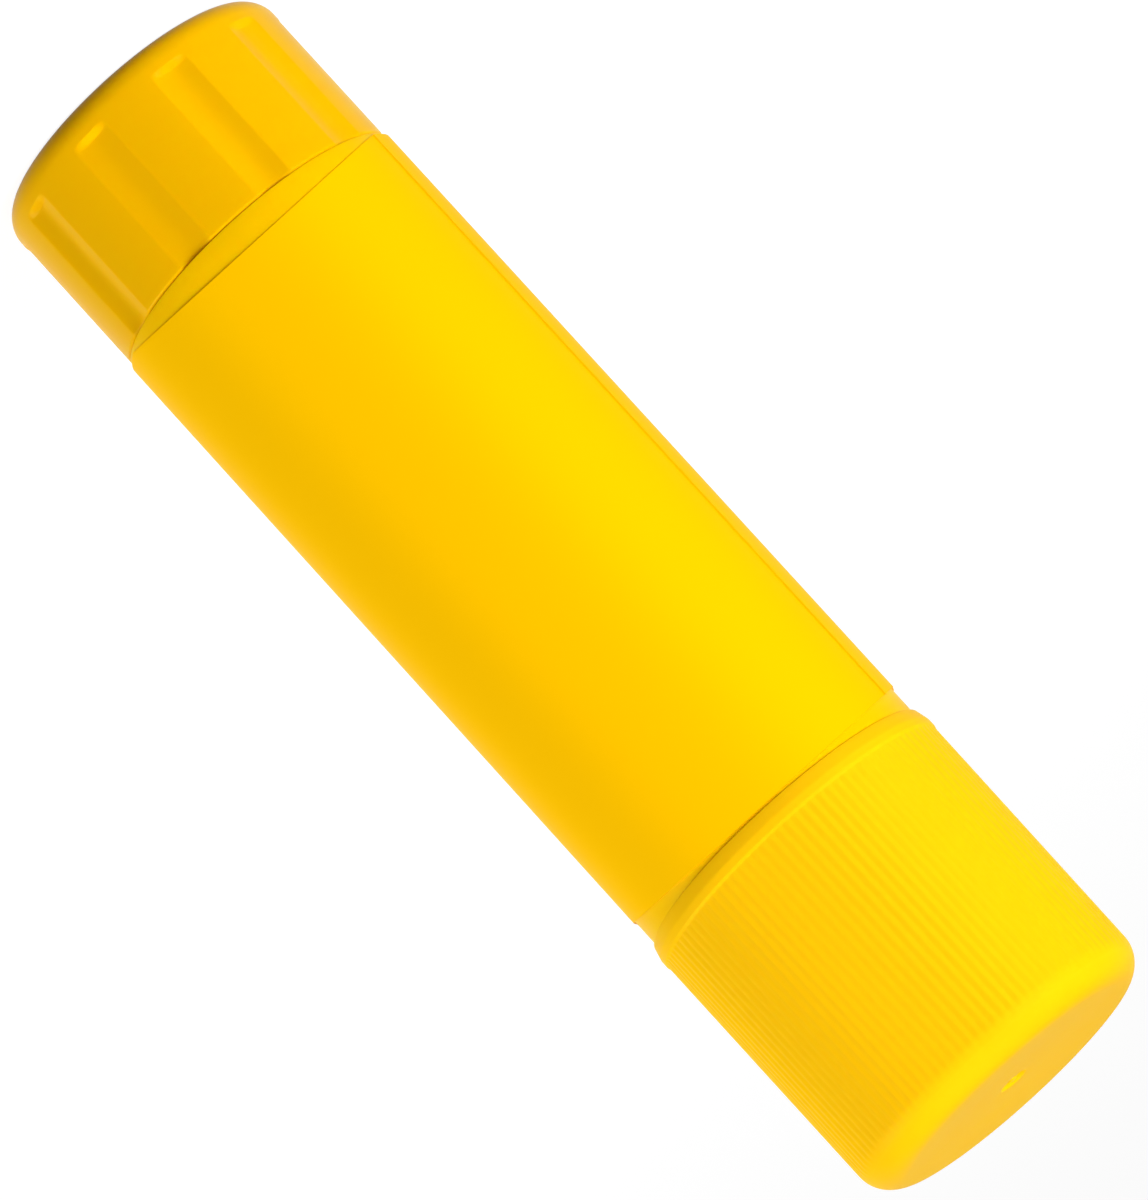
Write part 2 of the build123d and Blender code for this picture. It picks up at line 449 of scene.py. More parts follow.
def turned_relief() -> bpy.types.NodeTree:
    """Build the tree that cuts ribs, flutes, notches or a thread into a turned mesh.

    A groove's centre lies where angle x Count + height x Turns Per Metre + Phase is a whole
    number of turns. Shares run from 0 at the groove's centre to 1 at the middle of a crest.

    Returns:
        The geometry tree.
    """
    sheet = start_geometry_tree("turned_relief", numbers(
        count=1.0, phase=0.0, turns_per_metre=0.0, depth=0.0,
        root_share=0.0, crest_share=1.0, softness=0.0, hollow=0.0,
        low=0.0, high=1.0, run_in=0.001, run_out=0.001,
        still_radius=0.0, moving_radius=1.0,
    ))
    given = sheet.node("NodeGroupInput").outputs
    position = sheet.node("GeometryNodeInputPosition").outputs[0]
    x, y, z = sheet.node("ShaderNodeSeparateXYZ", {0: position}).outputs
    radius = sheet.math("SQRT", sheet.plus(sheet.times(x, x), sheet.times(y, y)))
    turns = sheet.math("DIVIDE", sheet.math("ARCTAN2", y, x), FULL_TURN)

    along = sheet.math("MULTIPLY_ADD", turns, given["Count"], given["Phase"])
    wave = sheet.math("FRACT", sheet.math("MULTIPLY_ADD", z, given["Turns Per Metre"], along))
    from_middle = sheet.math("ABSOLUTE", sheet.math("MULTIPLY_ADD", wave, 2.0, -1.0))
    share = sheet.math("SUBTRACT", 1.0, from_middle)
    climb = sheet.remap(share, given["Root Share"], given["Crest Share"])
    square = sheet.times(climb, climb)
    eased = sheet.times(square, sheet.math("MULTIPLY_ADD", climb, -2.0, 3.0))
    plain = sheet.mix_number(given["Softness"], climb, eased)
    shape = sheet.math("SUBTRACT", 1.0, sheet.mix_number(given["Hollow"], plain, square))

    run_in = sheet.remap(z, given["Low"], sheet.plus(given["Low"], given["Run In"]))
    run_out = sheet.remap(z, given["High"], sheet.math("SUBTRACT", given["High"], given["Run Out"]))
    moving = sheet.remap(radius, given["Still Radius"], given["Moving Radius"])
    drop = sheet.times(shape, sheet.times(run_in, run_out, moving), given["Depth"])
    lost_share = sheet.math("DIVIDE", drop, sheet.math("MAXIMUM", radius, SMALLEST_RADIUS))
    scale = sheet.math("SUBTRACT", 1.0, lost_share)
    moved = sheet.node("ShaderNodeCombineXYZ", {0: sheet.times(x, scale), 1: sheet.times(y, scale), 2: z})
    cut = sheet.node("GeometryNodeSetPosition", {"Geometry": given["Geometry"], "Position": moved.outputs[0]})
    finish_geometry_tree(sheet, cut.outputs[0], given["Material"])
    return sheet.tree


def ring_of_keys() -> bpy.types.NodeTree:
    """Build the tree that sets upright round-backed keys round the inside of a tube.

    Returns:
        The geometry tree.
    """
    sizes = numbers(ring_radius=0.0, key_radius=0.0, key_length=0.0, foot=0.0, first_angle=0.0)
    sheet = start_geometry_tree("ring_of_keys", {"Count": (SocketKind.COUNT, 4), **sizes})
    given = sheet.node("NodeGroupInput").outputs
    circle = sheet.node("GeometryNodeMeshCircle", {
        "Vertices": given["Count"],
        "Radius": given["Ring Radius"],
    })
    key = sheet.node("GeometryNodeMeshCylinder", {
        "Vertices": KEY_FACETS,
        "Radius": given["Key Radius"],
        "Depth": given["Key Length"],
    })
    middle = sheet.math("MULTIPLY_ADD", given["Key Length"], 0.5, given["Foot"])
    placed = sheet.node("GeometryNodeTransform", {
        "Geometry": circle.outputs[0],
        "Translation": sheet.node("ShaderNodeCombineXYZ", {2: middle}).outputs[0],
        "Rotation": sheet.node("ShaderNodeCombineXYZ", {2: given["First Angle"]}).outputs[0],
    })
    keys = sheet.node("GeometryNodeInstanceOnPoints", {
        "Points": placed.outputs[0],
        "Instance": key.outputs["Mesh"],
    })
    joined = sheet.node("GeometryNodeJoinGeometry", {0: given["Geometry"]})
    sheet.feed(joined.inputs[0], keys.outputs[0])
    finish_geometry_tree(sheet, joined.outputs[0], given["Material"])
    return sheet.tree


# Shared shader groups


class ShaderGroups:
    """Effects that more than one material uses, built once.

    A range gives the noise values that count as none and as all of an effect.
    """

    SMOOTH_DETAIL = 1.0
    BROKEN_DETAIL = 3.0
    DUSTY_DETAIL = 5.0
    LINE_STRETCH: Triple = (1.0, 1.0, 0.03)
    LINE_MASK_SHARE = 0.5
    SWELL_SCALE = 160.0
    SWELL_STRETCH: Triple = (1.0, 1.0, 0.5)
    DRIFT_STRETCH: Triple = (1.0, 1.0, 0.35)
    DRIFT_RANGE: Pair = (0.35, 0.7)
    EDGE_RANGE: Pair = (0.53, 0.6)
    EDGE_BREAK_SCALE = 900.0
    EDGE_BREAK_RANGE: Pair = (0.3, 0.6)
    SCUFF_SCALE = 220.0
    SCUFF_STRETCH: Triple = (1.0, 1.0, 0.6)
    SCUFF_RANGE: Pair = (0.52, 0.72)
    SCRATCH_SCALE = 2600.0
    SCRATCH_STRETCH: Triple = (0.12, 1.0, 0.4)
    SCRATCH_RANGE: Pair = (0.5, 0.66)

    def __init__(self) -> None:
        """Build every group."""
        self.grain = self._grain()
        self.drift = self._drift()
        self.wear = self._wear()

    def _grain(self) -> bpy.types.NodeTree:
        """Build the skin of a moulding or film: fine grain and long lines along the axis.

        Returns:
            The group's tree.
        """
        inputs = numbers(fine_scale=4000.0, fine_depth=1.0, line_scale=500.0, line_depth=1.0, swell_depth=1.0)
        outputs = {"Height": SocketKind.NUMBER, "Mask": SocketKind.NUMBER}
        sheet = start_tree("moulded_grain", "ShaderNodeTree", inputs, outputs)
        given = sheet.node("NodeGroupInput").outputs
        fine = sheet.noise(given["Fine Scale"], detail=self.BROKEN_DETAIL)
        line = sheet.noise(given["Line Scale"], self.LINE_STRETCH)
        swell = sheet.noise(self.SWELL_SCALE, self.SWELL_STRETCH, detail=self.SMOOTH_DETAIL)
        height = sheet.plus(
            sheet.times(fine, given["Fine Depth"]),
            sheet.times(line, given["Line Depth"]),
            sheet.times(swell, given["Swell Depth"]),
        )
        mask = sheet.mix_number(self.LINE_MASK_SHARE, fine, line)
        sheet.node("NodeGroupOutput", {"Height": height, "Mask": mask})
        return sheet.tree

    def _drift(self) -> bpy.types.NodeTree:
        """Build the slow change of colour over a surface.

        Returns:
            The group's tree.
        """
        white = (SocketKind.COLOUR, (1.0, 1.0, 1.0, 1.0))
        inputs = {"Colour": white, "Deep Colour": white, **numbers(scale=60.0, amount=0.3)}
        sheet = start_tree("tone_drift", "ShaderNodeTree", inputs, {"Color": SocketKind.COLOUR})
        given = sheet.node("NodeGroupInput").outputs
        cloud = sheet.noise(given["Scale"], self.DRIFT_STRETCH, detail=self.BROKEN_DETAIL)
        share = sheet.times(sheet.remap(cloud, *self.DRIFT_RANGE), given["Amount"])
        colour = sheet.mix_colour(share, given["Colour"], given["Deep Colour"])
        sheet.node("NodeGroupOutput", {"Color": colour})
        return sheet.tree

    def _wear(self) -> bpy.types.NodeTree:
        """Build the masks of rubbed edges and of fine dust and scuffs.

        Returns:
            The group's tree.
        """
        outputs = {"Edge": SocketKind.NUMBER, "Scuff": SocketKind.NUMBER}
        sheet = start_tree("handling_wear", "ShaderNodeTree", numbers(scuff_amount=0.2), outputs)
        given = sheet.node("NodeGroupInput").outputs
        pointed = sheet.node("ShaderNodeNewGeometry").outputs["Pointiness"]
        patches = sheet.noise(self.EDGE_BREAK_SCALE, detail=self.BROKEN_DETAIL)
        broken = sheet.remap(patches, *self.EDGE_BREAK_RANGE)
        cloud = sheet.noise(self.SCUFF_SCALE, self.SCUFF_STRETCH, detail=self.DUSTY_DETAIL)
        scratch = sheet.noise(self.SCRATCH_SCALE, self.SCRATCH_STRETCH)
        dusty, scratched = sheet.remap(cloud, *self.SCUFF_RANGE), sheet.remap(scratch, *self.SCRATCH_RANGE)
        sheet.node("NodeGroupOutput", {
            "Edge": sheet.times(sheet.remap(pointed, *self.EDGE_RANGE), broken),
            "Scuff": sheet.times(dusty, scratched, given["Scuff Amount"]),
        })
        return sheet.tree


# Finishes

PLASTIC_IOR = 1.49
COAT_ROUGHNESS = 0.12
SCUFF_ROUGHNESS = 0.35


@dataclass(frozen=True)
class Finish:
    """One moulded plastic, film or wax. Colours are linear RGB and depths are in millimetres."""

    name: str
    colour: Triple
    deep_colour: Triple
    worn_colour: Triple
    roughness: float
    roughness_spread: float = 0.1
    specular: float = 0.5
    tint: Triple = (1.0, 1.0, 1.0)
    subsurface: float = 0.0
    glow: Triple = (1.0, 0.5, 0.1)
    glow_depth: float = 1.0
    coat: float = 0.0
    drift_scale: float = 60.0
    drift: float = 0.4
    fine_scale: float = 5000.0
    fine_depth: float = 0.002
    line_scale: float = 600.0
    line_depth: float = 0.004
    swell_depth: float = 0.01
    scuffs: float = 0.3
    edge_wear: float = 0.2

    def material(self, groups: ShaderGroups) -> bpy.types.Material:
        """Build the finish's material.

        Args:
            groups: The shared shader groups.

        Returns:
            The new material.
        """
        material = bpy.data.materials.new(self.name)
        sheet = blank_sheet(material)
        drift = sheet.group(
            groups.drift,
            colour=(*self.colour, 1.0),
            deep_colour=(*self.deep_colour, 1.0),
            scale=self.drift_scale,
            amount=self.drift,
        )
        wear = sheet.group(groups.wear, scuff_amount=self.scuffs)
        grain = sheet.group(
            groups.grain,
            fine_scale=self.fine_scale,
            fine_depth=self.fine_depth,
            line_scale=self.line_scale,
            line_depth=self.line_depth,
            swell_depth=self.swell_depth,
        )
        worn = sheet.times(wear["Edge"], self.edge_wear)
        smoothest = self.roughness - self.roughness_spread / 2
        skin = sheet.math("MULTIPLY_ADD", grain["Mask"], self.roughness_spread, smoothest)
        scuffed = sheet.times(wear["Scuff"], SCUFF_ROUGHNESS)
        bump = sheet.node("ShaderNodeBump", {"Strength": 1.0, "Distance": MM, "Height": grain["Height"]})
        surface = sheet.node("ShaderNodeBsdfPrincipled", {
            "Base Color": sheet.mix_colour(worn, drift["Color"], (*self.worn_colour, 1.0)),
            "Roughness": sheet.math("ADD", skin, scuffed, clamp=True),
            "Normal": bump.outputs[0],
            "IOR": PLASTIC_IOR,
            "Specular IOR Level": self.specular,
            "Specular Tint": (*self.tint, 1.0),
            "Subsurface Weight": self.subsurface,
            "Subsurface Radius": self.glow,
            "Subsurface Scale": self.glow_depth * MM,
            "Coat Weight": self.coat,
            "Coat Roughness": COAT_ROUGHNESS,
        })
        sheet.node("ShaderNodeOutputMaterial", {"Surface": surface.outputs[0]})
        return material


CAP_FINISH = Finish(
    name="cap_yellow",
    colour=(0.985, 0.545, 0.003),
    deep_colour=(0.975, 0.52, 0.001),
    worn_colour=(0.98, 0.62, 0.02),
    roughness=0.42,
    specular=0.02,
    tint=(1.0, 0.8, 0.1),
    subsurface=0.2,
    glow=(1.0, 0.55, 0.05),
    glow_depth=0.5,
    swell_depth=0.004,
    line_depth=0.002,
    scuffs=0.15,
    edge_wear=0.0,
)
BARREL_FINISH = Finish(
    name="barrel_amber",
    colour=(0.93, 0.53, 0.0),
    deep_colour=(0.89, 0.49, 0.0),
    worn_colour=(0.95, 0.56, 0.02),
    roughness=0.36,
    specular=0.03,
    tint=(1.0, 0.8, 0.1),
    subsurface=0.3,
)
LABEL_FINISH = Finish(
    name="label_yellow",
    colour=(0.99, 0.54, 0.0),
    deep_colour=(0.97, 0.525, 0.0),
    worn_colour=(0.95, 0.58, 0.0),
    roughness=0.4,
    roughness_spread=0.06,
    specular=0.01,
    tint=(1.0, 0.75, 0.0),
    drift=0.25,
    fine_depth=0.0006,
    line_scale=420.0,
    line_depth=0.006,
    swell_depth=0.006,
    scuffs=0.1,
    edge_wear=0.0,
)
KNOB_FINISH = Finish(
    name="knob_amber",
    colour=(0.86, 0.46, 0.0),
    deep_colour=(0.81, 0.425, 0.0),
    worn_colour=(0.92, 0.54, 0.02),
    roughness=0.3,
    specular=0.03,
    tint=(1.0, 0.82, 0.25),
    subsurface=0.3,
    glow_depth=0.8,
    fine_depth=0.001,
    swell_depth=0.005,
    scuffs=0.15,
    edge_wear=0.12,
)
MECHANISM_FINISH = Finish(
    name="mechanism_white",
    colour=(0.86, 0.85, 0.80),
    deep_colour=(0.80, 0.78, 0.70),
    worn_colour=(0.92, 0.91, 0.88),
    roughness=0.4,
    subsurface=0.3,
    glow=(1.0, 0.9, 0.75),
)
GLUE_FINISH = Finish(
    name="glue_wax",
    colour=(0.80, 0.79, 0.72),
    deep_colour=(0.74, 0.72, 0.63),
    worn_colour=(0.84, 0.83, 0.78),
    roughness=0.48,
    roughness_spread=0.2,
    subsurface=0.6,
    glow=(1.0, 0.95, 0.8),
    glow_depth=2.5,
    coat=0.15,
    drift_scale=140.0,
    fine_scale=2500.0,
    fine_depth=0.006,
    swell_depth=0.08,
    scuffs=0.6,
)


# Sub-assemblies

RELIEF_LENGTHS = ("depth", "low", "high", "run_in", "run_out", "still_radius", "moving_radius")


@dataclass(frozen=True)
class Workshop:
    """The shared node trees that every sub-assembly works with."""

    groups: ShaderGroups
    relief: bpy.types.NodeTree
    keys: bpy.types.NodeTree


@dataclass
class SubAssembly:
    """One group of pieces of the stick, with its sizes in millimetres.

    A field that ends in rings holds the lowest and the highest ring that the mesh gets
    besides its corners, and their spacing. Margins say how much further than a relief such
    rings reach. A relief's shares run from a groove's centre to the middle of a crest.
    """

    shop: Workshop

    def cut_relief(self, piece: bpy.types.Object, material: bpy.types.Material, **sizes: float) -> None:
        """Cut one relief into a turned piece.

        Args:
            piece: The turned mesh object.
            material: Its material.
            sizes: The relief's inputs, with lengths in millimetres.
        """
        values: dict[str, object] = {"Material": material}
        for name, value in sizes.items():
            values[titled(name)] = value * MM if name in RELIEF_LENGTHS else float(value)
        run_tree(piece, self.shop.relief, values)

    @staticmethod
    def dress(piece: bpy.types.Object, body: str, node: str, slot: str) -> None:
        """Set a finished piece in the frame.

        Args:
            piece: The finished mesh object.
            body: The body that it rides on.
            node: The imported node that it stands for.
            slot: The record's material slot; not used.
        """
        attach(piece, body)
        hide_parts(node)
        triangles = sum(len(face.vertices) - 2 for face in piece.data.polygons)
        log.info("%s rides on %s, %d triangles", piece.name, body, triangles)


@dataclass
class TwistKnob(SubAssembly):
    """Fluted cup that turns the lead screw."""

    radius: float = 12.55
    height: float = 14.64
    end_rounding: float = 2.0
    rim_rounding: float = 0.3
    bore: float = 11.28
    mouth_rounding: float = 0.12
    floor: float = 1.8
    floor_rounding: float = 0.5
    recess_radius: float = 8.95
    recess_depth: float = 0.5
    recess_rounding: float = 0.2
    recess_edge_rounding: float = 0.15
    snap_radius: float = 11.06
    snap_low: float = 6.65
    snap_high: float = 7.65
    snap_rounding: float = 0.06
    boss_radius: float = 4.65
    boss_top: float = 7.8
    boss_rounding: float = 0.25
    boss_foot_rounding: float = 0.3
    socket_half: float = 2.33
    socket_cut: float = 0.5
    flute_count: int = 10
    flute_turn: float = -1.5
    flute_half_width: float = 1.6
    flute_depth: float = 0.45
    flute_low: float = 2.45
    flute_end: float = 0.5
    flute_overrun: float = 2.0
    flute_hollow: float = 0.8
    bore_cover: float = 0.2
    skin_depth: float = 0.25
    flute_margins: Pair = (0.1, 0.15)
    flute_ring_step: float = 0.08
    wall_rings: Triple = (5.0, 14.0, 3.0)
    segments: int = 600

    def build(self) -> None:
        """Turn the cup and cut its flutes."""
        outline = rounded([
            Corner(0, self.recess_depth),
            Corner(self.recess_radius, self.recess_depth, self.recess_rounding),
            Corner(self.recess_radius, 0, self.recess_edge_rounding),
            Corner(self.radius, 0, self.end_rounding),
            Corner(self.radius, self.height, self.rim_rounding),
            Corner(self.bore, self.height, self.mouth_rounding),
            Corner(self.bore, self.snap_high),
            Corner(self.snap_radius, self.snap_high, self.snap_rounding),
            Corner(self.snap_radius, self.snap_low, self.snap_rounding),
            Corner(self.bore, self.snap_low),
            Corner(self.bore, self.floor, self.floor_rounding),
            Corner(self.boss_radius, self.floor, self.boss_foot_rounding),
            Corner(self.boss_radius, self.boss_top, self.boss_rounding),
            Corner(self.socket_half, self.boss_top, section=Section.SQUARE),
            Corner(self.socket_half, self.floor, section=Section.SQUARE),
            Corner(0, self.floor),
        ])
        below, above = self.flute_margins
        flute_top = self.flute_low + self.flute_end
        cuts = rows(self.flute_low - below, flute_top + above, self.flute_ring_step) + rows(*self.wall_rings)
        piece = turned_mesh("knob_cup", cut_at(outline, cuts), self.segments, self.socket_cut)
        self.cut_relief(
            piece,
            KNOB_FINISH.material(self.shop.groups),
            count=self.flute_count,
            phase=-self.flute_turn * self.flute_count / 360,
            depth=self.flute_depth,
            crest_share=self.flute_half_width / self.radius / (math.pi / self.flute_count),
            hollow=self.flute_hollow,
            softness=1.0,
            low=self.flute_low,
            high=self.height + self.flute_overrun,
            run_in=self.flute_end,
            run_out=self.flute_overrun / 2,
            still_radius=self.bore + self.bore_cover,
            moving_radius=self.radius - self.skin_depth,
        )
        shade(piece)
        self.dress(piece, "knob", "twist_knob", "knob_plastic")


@dataclass
class LeadScrew(SubAssembly):
    """Spindle with a square drive foot, a thrust flange and a left-hand thread."""

    foot: float = 1.8
    drive_half: float = 2.3
    drive_cut: float = 0.5
    flange_radius: float = 5.0
    flange_low: float = 10.95
    flange_high: float = 12.15
    flange_rounding: float = 0.15
    radius: float = 3.2
    tip: float = 78.0
    tip_rounding: float = 1.0
    thread_low: float = 17.0
    thread_high: float = 79.0
    thread_depth: float = 0.9
    thread_run: float = 0.8
    thread_root_share: float = 0.6
    thread_crest_share: float = 0.775
    lead: float = 4.0
    thread_margin: float = 0.2
    tip_margin: float = 0.1
    thread_ring_step: float = 0.12
    crease: float = 40.0
    segments: int = 72

    def build(self) -> None:
        """Turn the spindle and cut its thread."""
        outline = rounded([
            Corner(0, self.foot),
            Corner(self.drive_half, self.foot, section=Section.SQUARE),
            Corner(self.drive_half, self.flange_low, section=Section.SQUARE),
            Corner(self.flange_radius, self.flange_low, self.flange_rounding),
            Corner(self.flange_radius, self.flange_high, self.flange_rounding),
            Corner(self.radius, self.flange_high, self.flange_rounding),
            Corner(self.radius, self.tip, self.tip_rounding),
            Corner(0, self.tip),
        ])
        highest = self.tip - self.tip_rounding - self.tip_margin
        cuts = rows(self.thread_low - self.thread_margin, highest, self.thread_ring_step)
        piece = turned_mesh("screw_spindle", cut_at(outline, cuts), self.segments, self.drive_cut)
        self.cut_relief(
            piece,
            MECHANISM_FINISH.material(self.shop.groups),
            count=1,
            turns_per_metre=1 / (self.lead * MM),
            depth=self.thread_depth,
            root_share=self.thread_root_share,
            crest_share=self.thread_crest_share,
            low=self.thread_low,
            high=self.thread_high,
            run_in=self.thread_run,
            run_out=self.thread_run,
            still_radius=0.0,
            moving_radius=self.radius - self.thread_depth,
        )
        shade(piece, self.crease)
        self.dress(piece, "knob", "lead_screw", "mechanism_plastic")


@dataclass
class Barrel(SubAssembly):
    """Tube with the neck, the web with its bearing hub, the snap spigot and four inner keys."""

    radius: float = 12.55
    bore: float = 10.95
    foot: float = 14.67
    foot_rounding: float = 0.05
    shoulder: float = 73.0
    shoulder_rounding: float = 0.02
    neck_radius: float = 11.75
    neck_foot_rounding: float = 0.12
    mouth: float = 83.0
    mouth_rounding: float = 0.3
    mouth_inner_rounding: float = 0.15
    bead_low: float = 75.5
    bead_height: float = 0.17
    bead_width: float = 1.4
    bead_rounding: float = 0.35
    bead_foot_rounding: float = 0.3
    web_top: float = 16.4
    web_rounding: float = 0.4
    root_rounding: float = 0.3
    hub_bore: float = 3.28
    hub_radius: float = 4.58
    hub_foot: float = 12.3
    hub_rounding: float = 0.15
    spigot_bore: float = 9.98
    spigot_radius: float = 10.98
    spigot_foot: float = 5.5
    spigot_root_rounding: float = 0.1
    spigot_bead: float = 11.2
    spigot_bead_width: float = 1.0
    spigot_bead_rounding: float = 0.2
    key_count: int = 4
    key_radius: float = 0.48
    key_height: float = 0.45
    key_top: float = 81.5
    wall_rings: Triple = (16.0, 82.0, 4.0)
    segments: int = 256

    def build(self) -> None:
        """Turn the tube and set its keys."""
        spigot_bead_top = self.spigot_foot + self.spigot_bead_width
        bead_reach = self.neck_radius + self.bead_height
        outline = rounded([
            Corner(self.hub_bore, self.hub_foot),
            Corner(self.hub_radius, self.hub_foot, self.hub_rounding),
            Corner(self.hub_radius, self.foot, self.root_rounding),
            Corner(self.spigot_bore, self.foot, self.root_rounding),
            Corner(self.spigot_bore, self.spigot_foot),
            Corner(self.spigot_bead, self.spigot_foot, self.spigot_bead_rounding),
            Corner(self.spigot_bead, spigot_bead_top),
            Corner(self.spigot_radius, spigot_bead_top),
            Corner(self.spigot_radius, self.foot, self.spigot_root_rounding),
            Corner(self.radius, self.foot, self.foot_rounding),
            Corner(self.radius, self.shoulder, self.shoulder_rounding),
            Corner(self.neck_radius, self.shoulder, self.neck_foot_rounding),
            Corner(self.neck_radius, self.bead_low, self.bead_foot_rounding),
            Corner(bead_reach, self.bead_low + self.bead_width / 2, self.bead_rounding),
            Corner(self.neck_radius, self.bead_low + self.bead_width, self.bead_foot_rounding),
            Corner(self.neck_radius, self.mouth, self.mouth_rounding),
            Corner(self.bore, self.mouth, self.mouth_inner_rounding),
            Corner(self.bore, self.web_top, self.web_rounding),
            Corner(self.hub_bore, self.web_top, self.hub_rounding),
        ])
        piece = turned_mesh("barrel_tube", cut_at(outline, rows(*self.wall_rings)), self.segments)
        run_tree(piece, self.shop.keys, {
            "Count": self.key_count,
            "Ring Radius": (self.bore + self.key_radius - self.key_height) * MM,
            "Key Radius": self.key_radius * MM,
            "Key Length": (self.key_top - self.web_top) * MM,
            "Foot": self.web_top * MM,
            "First Angle": math.pi / self.key_count,
            "Material": BARREL_FINISH.material(self.shop.groups),
        })
        shade(piece)
        self.dress(piece, "barrel", "barrel", "barrel_plastic")


@dataclass
class Label(SubAssembly):
    """Film wrapped once round the barrel, with one lapped edge. Angles are in degrees."""

    inner_radius: float = 12.58
    thickness: float = 0.125
    lap_gap: float = 0.005
    front_low: float = 17.0
    back_low: float = 15.0
    front_high: float = 72.8
    back_high: float = 70.4
    low_tilt: float = 14.3
    high_tilt: float = 10.5
    outer_end: float = 201.5
    lap: float = 13.5
    ramp: float = 5.0
    columns: int = 420
    levels: int = 12

    def radius_at(self, swept: float) -> float:
        """Radius of the film's inner face.

        Args:
            swept: Degrees wound on from the outer end.

        Returns:
            The radius in millimetres.
        """
        raised = self.thickness + self.lap_gap
        down = min(1.0, max(0.0, (swept - self.lap) / self.ramp))
        return self.inner_radius + raised * (1 - down * down * (3 - 2 * down))

    def ends_at(self, angle: float) -> Pair:
        """Heights of the film's two ends, cut in a curve at the front and straight behind.

        Args:
            angle: Direction about the axis, in radians.

        Returns:
            The lower and the upper height in millimetres.
        """
        front = self.inner_radius + self.thickness
        back = front * (1 + math.sin(angle))
        low = self.front_low - back * math.tan(math.radians(self.low_tilt))
        high = self.front_high - back * math.tan(math.radians(self.high_tilt))
        return max(low, self.back_low), max(high, self.back_high)

    def build(self) -> None:
        """Wind the film."""
        vertices: list[Triple] = []
        faces: list[tuple[int, ...]] = []
        around = 2 * (self.levels + 1)
        for column in range(self.columns + 1):
            swept = (360 + self.lap) * column / self.columns
            angle = math.radians(self.outer_end - swept)
            inner = self.radius_at(swept)
            outer = inner + self.thickness
            low, high = self.ends_at(angle)
            heights = rows(low, high, (high - low) / self.levels)
            loop = [(outer, height) for height in heights] + [(inner, height) for height in reversed(heights)]
            for reach, height in loop:
                vertices.append((reach * math.cos(angle) * MM, reach * math.sin(angle) * MM, height * MM))
        for column in range(self.columns):
            here, there = column * around, (column + 1) * around
            for step in range(around):
                beside = (step + 1) % around
                faces.append((here + step, here + beside, there + beside, there + step))
        last = self.columns * around
        faces.append(tuple(reversed(range(around))))
        faces.append(tuple(last + step for step in range(around)))
        piece = mesh_object("label_film", vertices, faces)
        piece.data.materials.append(LABEL_FINISH.material(self.shop.groups))
        shade(piece)
        self.dress(piece, "barrel", "label", "label_film")


